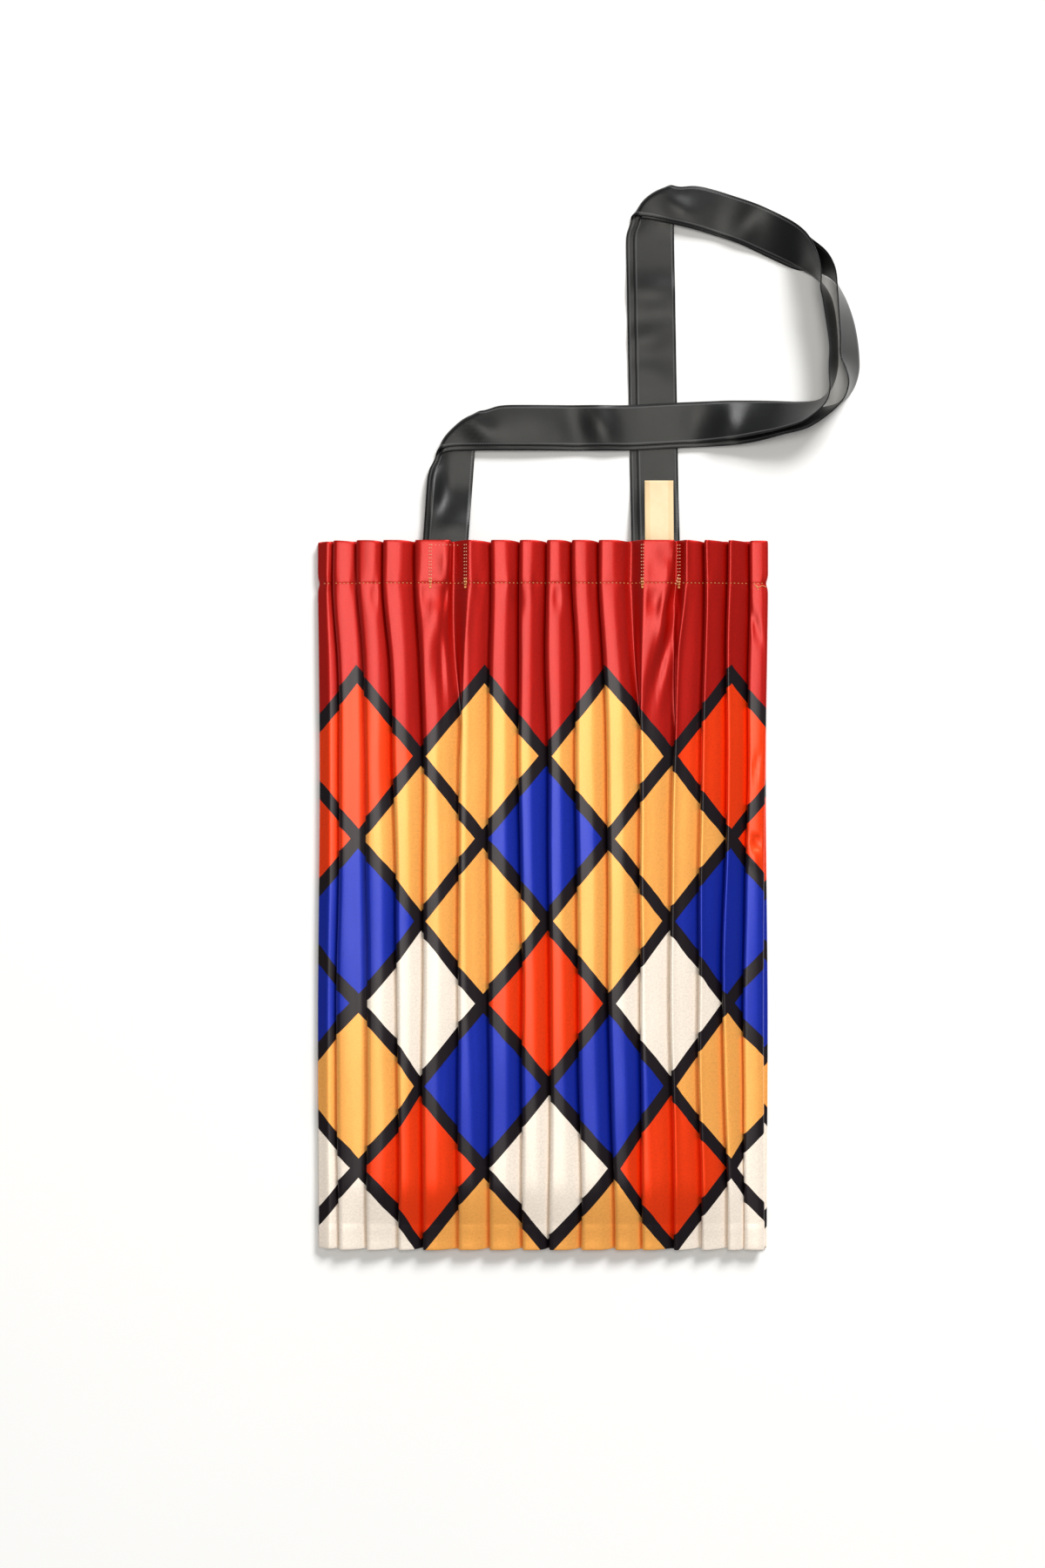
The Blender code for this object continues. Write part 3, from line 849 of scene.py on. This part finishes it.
# Points across a ribbon, as shares from its middle, close together at the edges
SHARES = np.array((-1, -0.965, -0.8, -0.6, -0.4, -0.2, 0, 0.2, 0.4, 0.6, 0.8, 0.965, 1))
LOOK_RIBBON = 0.0007
LOOK_LABEL = 0.0007
# A ribbon's edge: how much thicker its beaded line is and how thin its rim is, as shares
BEAD_SHARE = 0.10
RIM_SHARE = 0.65
# Stations before, round and after a strap's fold, the step down its straight run, the added
# stations in each step of the loop, and the label's stations
APPROACH_STEPS = 10
ARC_STEPS = 12
SETTLE_STEPS = 8
RUN_STEP = 3.0 * MM
LOOP_STEPS = 3
LABEL_STEPS = 40


def left_of(direction):
    """The direction turned a quarter to the left, in plan."""
    return Vector((-direction.y, direction.x))


def spline(a, b, c, d, t):
    """A point of the smooth curve between b and c."""
    return tuple(
        0.5 * (2 * q + (r - p) * t + (2 * p - 5 * q + 4 * r - s) * t**2 + (3 * (q - r) + s - p) * t**3)
        for p, q, r, s in zip(a, b, c, d)
    )


def loop_stations(route, level):
    """Pairs of inner and outer edge points round the loop."""
    start_x = BAG_WIDTH * (RIGHT_STRAP_SHARE - 0.5)
    rows = [
        (start_x + across * LOOP_HEIGHT, BAG_LENGTH + up * LOOP_HEIGHT, bank, lift)
        for across, up, bank, lift in route
    ]
    samples = []
    for i in range(len(rows) - 1):
        a, b = rows[max(i - 1, 0)], rows[i]
        c, d = rows[i + 1], rows[min(i + 2, len(rows) - 1)]
        for step in range(ROUTE_STEPS):
            samples.append(spline(a, b, c, d, step / ROUTE_STEPS))
    samples.append(rows[-1])
    stations = []
    for i, (x, y, bank, lift) in enumerate(samples):
        ahead, behind = samples[min(i + 1, len(samples) - 1)], samples[max(i - 1, 0)]
        along = Vector((ahead[0] - behind[0], ahead[1] - behind[1])).normalized()
        inner = Vector((x, y, RIBBON / 2 + (level + lift) * RIBBON_LAYER))
        tilt = math.radians(bank)
        across = (-left_of(along) * math.cos(tilt)).to_3d()
        across.z = math.sin(tilt)
        stations.append((inner, inner + across * RIBBON_WIDTH))
    return stations


def exit_height(y, level, mouth_height):
    """Height of a strap's middle line, from the mouth down to its level on the floor."""
    floor_height = RIBBON / 2 + level * RIBBON_LAYER
    return float(mouth_height + (floor_height - mouth_height) * smooth((y - BAG_LENGTH) / EXIT_RUN))


Fold = namedtuple("Fold", "corner inward axis beyond across radius high span")


def strap_fold(first, second, strap_x, lean, radius, low):
    """The flat fold where the loop's end turns over into a strap that leans by lean."""
    across = (first[0] - first[1]).to_2d().normalized()
    centre = (first[0] + first[1]).to_2d() / 2
    inward = (centre - (second[0] + second[1]).to_2d() / 2).normalized()
    inward = (inward - across * inward.dot(across)).normalized()
    strap = Vector((math.sin(lean), math.cos(lean)))
    axis = (inward - strap).normalized()
    beyond = left_of(axis)
    if beyond.dot(inward) < 0:
        beyond = -beyond
    aim = Vector((strap_x, BAG_LENGTH)) - centre - math.pi * radius * beyond
    reach = aim.cross(strap) / inward.cross(strap)
    corner = centre + inward * reach
    span = reach * inward.dot(beyond) - abs(across.dot(beyond)) * RIBBON_WIDTH / 2
    return Fold(corner, inward, axis, beyond, across, radius, low + 2 * radius, span)


def fold_point(fold, along, offset, start_height, levels):
    """A point of the ribbon before, in or after its turned-over fold."""
    flat = along * fold.inward + offset * fold.across
    on_axis, past = flat.dot(fold.axis), flat.dot(fold.beyond)
    arc = math.pi * fold.radius
    if past <= 0:
        plan = fold.corner + flat
        height = fold.high + (start_height - fold.high) * float(smooth(-past / fold.span))
    elif past < arc:
        turn = past / fold.radius
        plan = fold.corner + on_axis * fold.axis + fold.radius * math.sin(turn) * fold.beyond
        height = fold.high - fold.radius * (1 - math.cos(turn))
    else:
        plan = fold.corner + on_axis * fold.axis - (past - arc) * fold.beyond
        height = exit_height(plan.y, *levels)
    return Vector((plan.x, plan.y, height))


def strap_stations(fold, reach, start_height, levels, direction):
    """Stations from the loop's end to the hem; each gives the points across the ribbon."""
    slope = fold.inward.dot(fold.beyond)
    skew = fold.across.dot(fold.beyond) / slope
    arc_along = math.pi * fold.radius / slope
    half = RIBBON_WIDTH / 2
    landing = fold.corner + math.pi * fold.radius * fold.beyond
    end_along = (landing.y - BAG_LENGTH + HEM_DEPTH) / direction.y
    places = []
    for share in np.linspace(1 / APPROACH_STEPS, 1.0, APPROACH_STEPS).tolist():
        places.append((-reach * (1 - share), float(smooth(share))))
    places += [(arc_along * i / ARC_STEPS, 1.0) for i in range(1, ARC_STEPS + 1)]
    straightened = arc_along + RIBBON_WIDTH
    for share in np.linspace(1 / SETTLE_STEPS, 1.0, SETTLE_STEPS).tolist():
        places.append((arc_along + RIBBON_WIDTH * share, float(1 - smooth(share))))
    straight = end_along - straightened
    runs = math.ceil(straight / RUN_STEP)
    places += [(straightened + straight * i / runs, 0.0) for i in range(1, runs + 1)]
    stations = []
    for along, skewed in places:
        line = []
        for offset in (-half * SHARES).tolist():
            place = along - skewed * offset * skew
            line.append(fold_point(fold, place, offset, start_height, levels))
        stations.append(line)
    return stations


# Swells of the handles: photo place, height and radii in millimetres, turn in degrees
SWELL_DEPTH = 1.7
SWELLS = (
    (690, 490, 1.6, 9.0, 16.0, 20),
    (660, 490, -0.5, 8.0, 16.0, 20),
    (600, 488, 1.2, 22.0, 20.0, 0),
    (838, 484, 1.4, 8.0, 14.0, -15),
    (800, 488, -0.5, 8.0, 14.0, 0),
    (858, 258, 1.2, 9.0, 16.0, -30),
    (808, 240, 0.8, 10.0, 14.0, -30),
    (495, 562, 3.0, 6.0, 15.0, -4),
    (520, 600, 1.0, 14.0, 9.0, 20),
    (748, 335, 1.3, 20.0, 10.0, 0),
    (742, 388, 0.9, 17.0, 8.0, 12),
    (745, 428, 0.6, 15.0, 8.0, -8),
    (552, 492, 1.2, 8.0, 13.0, 45),
    (778, 238, 1.2, 8.0, 13.0, 45),
)

# How the corners of the turned-over folds are rounded: photo place, shift and radius in millimetres
ROUNDED = (
    (493, 517, 3.8, -2.0, 9.0),
    (550, 467, 1.3, -3.4, 9.0),
    (725, 247, 3.6, -2.0, 8.0),
    (774, 207, 1.0, -3.8, 10.0),
)


def rounded(point):
    """A handle's point moved in from the nearest sharp corner of a fold."""
    moved = point.copy()
    for px, py, across, up, radius in ROUNDED:
        near = float(bump_at(point.x, point.y, px, py, radius * MM, radius * MM))
        moved.x += across * MM * near
        moved.y += up * MM * near
    return moved


def swell(point):
    """Height that the handles' swells add at a point."""
    total = 0.0
    for px, py, height, across, along, turn in SWELLS:
        weight = bump_at(point.x, point.y, px, py, across * MM, along * MM, math.radians(turn))
        total += SWELL_DEPTH * height * MM * float(weight)
    return total


def refined(stations, steps):
    """More stations on a smooth curve through the given pairs of edge points."""
    made = []
    for i in range(len(stations) - 1):
        near = [stations[min(max(k, 0), len(stations) - 1)] for k in (i - 1, i, i + 1, i + 2)]
        for step in range(steps):
            t = step / steps
            made.append(tuple(Vector(spline(*(tuple(s[side]) for s in near), t)) for side in (0, 1)))
    made.append(stations[-1])
    return made


def handle_lines(route, loop_level, strap_level, radius, shifts, mouth_heights):
    """Lines of points across one handle, from its left end in the hem to its right end."""
    loop = loop_stations(route, loop_level)
    low = RIBBON / 2 + strap_level * RIBBON_LAYER
    ends = (
        (loop[0], loop[1], LEFT_STRAP_SHARE, LEFT_LEAN, shifts[0], mouth_heights[0]),
        (loop[-1], loop[-2], RIGHT_STRAP_SHARE, RIGHT_LEAN, shifts[1], mouth_heights[1]),
    )
    straps = []
    for first, second, share, lean, shift, mouth_height in ends:
        strap_x = BAG_WIDTH * (share - 0.5) - shift
        fold = strap_fold(first, second, strap_x, lean, radius, low)
        centre = (first[0] + first[1]).to_2d() / 2
        reach = (fold.corner - centre).length
        direction = Vector((math.sin(lean), math.cos(lean)))
        levels = (strap_level, mouth_height)
        straps.append(strap_stations(fold, reach, first[0].z, levels, direction))
    lines = []
    for inner, outer in refined(loop, LOOP_STEPS):
        line = []
        for share in ((SHARES + 1) / 2).tolist():
            point = inner.lerp(outer, share)
            fade = 1.0 - float(smooth((abs(outer.z - inner.z) - 0.004) / 0.010))
            line.append(point + Vector((0, 0, swell(point) * fade)))
        lines.append(line)
    for strap in straps:
        for line in strap:
            for point in line:
                point.z += swell(point)
    return [[rounded(point) for point in line] for line in straps[0][::-1] + lines + straps[1]]


def strip(name, lines, thickness, finish, beads=0.0):
    """A closed flat strip with rounded, slightly beaded edges through lines of points."""
    grid = np.array([[tuple(p) for p in line] for line in lines])
    count, across = grid.shape[:2]
    along = np.gradient(grid, axis=0)
    over = np.gradient(grid, axis=1)
    normal = np.cross(along, over)
    normal /= np.linalg.norm(normal, axis=2, keepdims=True) + 1e-12
    share = np.abs(SHARES)
    profile = thickness / 2 * np.where(share > 0.99, RIM_SHARE, 1.0 + beads * (share > 0.8))
    step = np.linalg.norm(np.diff(grid[:, across // 2], axis=0), axis=1)
    length = np.concatenate([[0], np.cumsum(step)])
    sides = [grid + sign * normal * profile[None, :, None] for sign in (1, -1)]
    u = np.repeat((SHARES * RIBBON_WIDTH / 2)[None], count, axis=0)
    v = np.repeat(length[:, None], across, axis=1)
    points, faces, uv = sleeve(sides, u, v)
    return mesh_object(name, points, faces, finish, uv), float(length[-1])


def label_lines(mouth_height):
    """Lines of points across the label, from inside the hem to its free end."""
    centre = BAG_WIDTH * (RIGHT_STRAP_SHARE - 0.5)
    step_up = RIBBON / 2 + LAYER_GAP + LABEL / 2
    lines = []
    for share in np.linspace(0, 1, LABEL_STEPS).tolist():
        y = BAG_LENGTH - LABEL_CAUGHT + (LABEL_CAUGHT + LABEL_SHOWN) * share
        z = exit_height(y, 1, mouth_height) + step_up
        line = []
        for side in SHARES.tolist():
            sway = 0.00012 * math.sin(9 * share + 2 * side)
            line.append(Vector((centre + side * LABEL_WIDTH / 2, y, z + sway)))
        lines.append(line)
    return lines


# Build

front_print = printed_satin("printed_satin_front")
back_print = printed_satin("printed_satin_back")
front_black = ribbon_satin("black_satin_ribbon_front", FRONT_BLACK)
back_black = ribbon_satin("black_satin_ribbon_back", BACK_BLACK)
tape = label_tape("apricot_tape")
peach_thread = thread("peach_thread", PEACH)
gold_thread = thread("gold_thread", GOLD)

front = panel("pleated_front", True, front_print)
back = panel("pleated_back", False, back_print)

under_front = FRONT_BASE + LOFT - LAYER_GAP - RIBBON / 2
under_label = under_front - LABEL - LAYER_GAP
on_back = STACK + LAYER_GAP + RIBBON / 2
front_lines = handle_lines(FRONT_ROUTE, 0, 1, FOLD_RADIUS, (0.0, 0.0), (under_front, under_label))
back_lines = handle_lines(BACK_ROUTE, 1, 0, FOLD_RADIUS + RIBBON_LAYER, BACK_SHIFTS, (on_back, on_back))
front_ribbon, front_length = strip("ribbon_front", front_lines, LOOK_RIBBON, front_black, BEAD_SHARE)
back_ribbon, back_length = strip("ribbon_back", back_lines, LOOK_RIBBON, back_black, BEAD_SHARE)
label, label_length = strip("label_plain", label_lines(under_label), LOOK_LABEL, tape)


# Stitching: photo places in pixels

HEM_LINE = (372, 878)
HEM_PARTS = 60
STRAP_EDGES = (494.6, 534.5, 737.0, 779.0)
STRAP_SEAM = (626, 672)
TACK_SEAM = (664, 677)
BOX_TOP = ((496, 627), (529, 626.5))
EDGE_TACK = ((779, 660), (775, 673))
TAIL = ((866, 672), (870, 675), (875, 672.5), (879, 674.5))
TAIL_END = ((868, 672), (870, 678))
# A run's pitch and thread radius in metres, and the share of the pitch that a stitch fills
Run = namedtuple("Run", "pitch radius filled")
HEM_RUN = Run(0.0024, 0.00018, 0.42)
STRAP_RUN = Run(0.0021, 0.00030, 0.30)
BOX_RUN = Run(0.0021, 0.00016, 0.34)
TACK_RUN = Run(0.0016, 0.00015, 0.8)
EDGE_TACK_RUN = Run(0.0019, 0.00028, 0.6)
TAIL_RUN = Run(0.0011, 0.00022, 0.97)
TAIL_END_RUN = Run(0.0011, 0.0002, 0.97)
# A stitch that would climb more than this is hidden in a fold
STEEPEST = 1.8 * MM
# A stitch's places along it with its thickness there, and its sides
SPINDLE = ((0.0, 0.45), (0.2, 0.95), (0.5, 1.1), (0.8, 0.95), (1.0, 0.45))
SIDES = 6
UP = Vector((0, 0, 1))


@lru_cache(maxsize=None)
def surface_points(y_value):
    """The front's outer line at one height: x and z in the bag's frame, from left to right."""
    share = np.array([y_value / BAG_LENGTH, y_value / BAG_LENGTH])
    skeleton = fold_skeleton(share, False)
    curve = np.einsum("sk,rkc->rsc", spline_basis(skeleton.shape[1], 6), skeleton)[0]
    x, h = curve[:, 0], curve[:, 1]
    rows = np.full_like(x, y_value)
    z = FRONT_BASE + loft(x, rows) + h + crumple(x, rows) + LOOK_CLOTH / 2
    return x, z


def top_height(x, y):
    """Height of the uppermost cloth at a place of the front."""
    line_x, line_z = surface_points(y)
    best = -1.0
    for a in range(len(line_x) - 1):
        x0, x1 = line_x[a], line_x[a + 1]
        if min(x0, x1) <= x <= max(x0, x1) and abs(x1 - x0) > 1e-9:
            t = (x - x0) / (x1 - x0)
            best = max(best, line_z[a] + t * (line_z[a + 1] - line_z[a]))
    return best


def stitch(points, faces, start, end, radius):
    """Adds one stitch: a small spindle from start to end that bows up in its middle."""
    along = end - start
    side = along.cross(UP).normalized()
    base = len(points)
    for t, swelling in SPINDLE:
        centre = start + along * t + UP * (radius * (1.6 * math.sin(math.pi * t) - 0.6))
        for k in range(SIDES):
            angle = 2 * math.pi * k / SIDES
            offset = side * math.cos(angle) + UP * math.sin(angle)
            points.append(centre + offset * radius * swelling)
    last = base + (len(SPINDLE) - 1) * SIDES
    for ring in range(base, last, SIDES):
        for k in range(SIDES):
            a, b = ring + k, ring + (k + 1) % SIDES
            faces.append((a, b, b + SIDES, a + SIDES))
    faces.append(tuple(base + k for k in reversed(range(SIDES))))
    faces.append(tuple(last + k for k in range(SIDES)))


def seam(sewn, photo_places, run):
    """Stitches of one run on the front's top surface, along a path of photo places."""
    points, faces = sewn
    path = [Vector((bag_x(px), bag_y(py))) for px, py in photo_places]
    lengths = [0.0]
    for a, b in zip(path, path[1:]):
        lengths.append(lengths[-1] + (b - a).length)
    count = max(1, round(lengths[-1] / run.pitch))

    def at(distance):
        for i in range(len(path) - 1):
            if distance <= lengths[i + 1] or i == len(path) - 2:
                t = (distance - lengths[i]) / (lengths[i + 1] - lengths[i])
                plan = path[i].lerp(path[i + 1], t)
                height = top_height(plan.x, round(plan.y, 4)) + run.radius * 1.4
                return Vector((plan.x, plan.y, height))

    for k in range(count):
        a = at(lengths[-1] * k / count)
        b = at(lengths[-1] * (k + run.filled) / count)
        if min(a.z, b.z) > 0 and abs(a.z - b.z) < STEEPEST:
            stitch(points, faces, a + ORIGIN, b + ORIGIN, run.radius)


peach_sewn, gold_sewn = ([], []), ([], [])
hem_row = (BAG_LENGTH - STITCH_Y) / PX + MOUTH_ROW
hem_step = (HEM_LINE[1] - HEM_LINE[0]) / HEM_PARTS
seam(gold_sewn, [(HEM_LINE[0] + hem_step * i, hem_row) for i in range(HEM_PARTS + 1)], HEM_RUN)
for px in STRAP_EDGES:
    for shift in (-1.1, 1.1):
        seam(peach_sewn, [(px + shift, py) for py in STRAP_SEAM], STRAP_RUN)
seam(peach_sewn, BOX_TOP, BOX_RUN)
for px in STRAP_EDGES:
    for shift in (-1.6, -0.5, 0.5, 1.6):
        seam(gold_sewn, [(px + shift, TACK_SEAM[0]), (px + shift * 0.4, TACK_SEAM[1])], TACK_RUN)
seam(peach_sewn, EDGE_TACK, EDGE_TACK_RUN)
seam(gold_sewn, TAIL, TAIL_RUN)
seam(gold_sewn, TAIL_END, TAIL_END_RUN)
stitching = mesh_object("hem_stitching", *peach_sewn, peach_thread)
tacks = mesh_object("back_tacks", *gold_sewn, gold_thread)

# How the pieces belong to the frame

for piece in (front, back, front_ribbon, back_ribbon, label, stitching, tacks):
    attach(piece, "root")
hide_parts("front_panel")
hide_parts("back_panel")
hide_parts("front_handle")
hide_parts("back_handle")
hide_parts("label_tab")

# Floor, light and camera

FLOOR_REACH = 9
AMBIENT = 0.25
WHITE = (1.0, 1.0, 1.0)
WARM_WHITE = (1.0, 0.975, 0.90)
SENSOR = 36.0
DISTANCE = 2.0
# The photo's scale holds at this height, near the front's crests
SCALE_HEIGHT = 0.006
MIDDLE_OF_VIEW = ORIGIN + Vector((bag_x(PHOTO_MIDDLE[0]), bag_y(PHOTO_MIDDLE[1]), 0.0))

floor_corners = [(x * FLOOR_REACH, y * FLOOR_REACH, 0) for x, y in ((-1, -1), (1, -1), (1, 1), (-1, 1))]
floor_data = bpy.data.meshes.new("floor")
floor_data.from_pydata(floor_corners, [], [(0, 1, 2, 3)])
floor = bpy.data.objects.new("floor", floor_data)
scene.collection.objects.link(floor)
floor_data.materials.append(white_paper())

world = bpy.data.worlds.new("studio")
scene.world = world
world.use_nodes = True
background = world.node_tree.nodes["Background"]
background.inputs[0].default_value = (*WHITE, 1.0)
background.inputs[1].default_value = AMBIENT
scene.view_settings.view_transform = "Standard"


def softbox(name, azimuth, elevation, distance, size, power, colour):
    """A square lamp that faces the middle of the view; angles in degrees, from above the floor."""
    data = bpy.data.lights.new(name, "AREA")
    data.shape = "RECTANGLE"
    data.size = data.size_y = size
    data.energy = power
    data.color = colour
    lamp = bpy.data.objects.new(name, data)
    a, e = math.radians(azimuth), math.radians(elevation)
    way = Vector((math.cos(a) * math.cos(e), math.sin(a) * math.cos(e), math.sin(e)))
    lamp.location = MIDDLE_OF_VIEW + way * distance
    lamp.rotation_euler = way.to_track_quat("Z", "Y").to_euler()
    scene.collection.objects.link(lamp)


softbox("key_above_right", 60, 38, distance=6.5, size=2.2, power=405, colour=WHITE)
softbox("overhead", 75, 85, distance=3.4, size=1.3, power=38, colour=WARM_WHITE)

camera_data = bpy.data.cameras.new("camera")
camera_data.sensor_width = SENSOR
camera_data.lens = SENSOR * DISTANCE / (PHOTO_HEIGHT * PX)
camera = bpy.data.objects.new("camera", camera_data)
camera.location = MIDDLE_OF_VIEW + Vector((0, 0, DISTANCE + SCALE_HEIGHT))
scene.collection.objects.link(camera)
scene.camera = camera

bpy.context.view_layer.update()
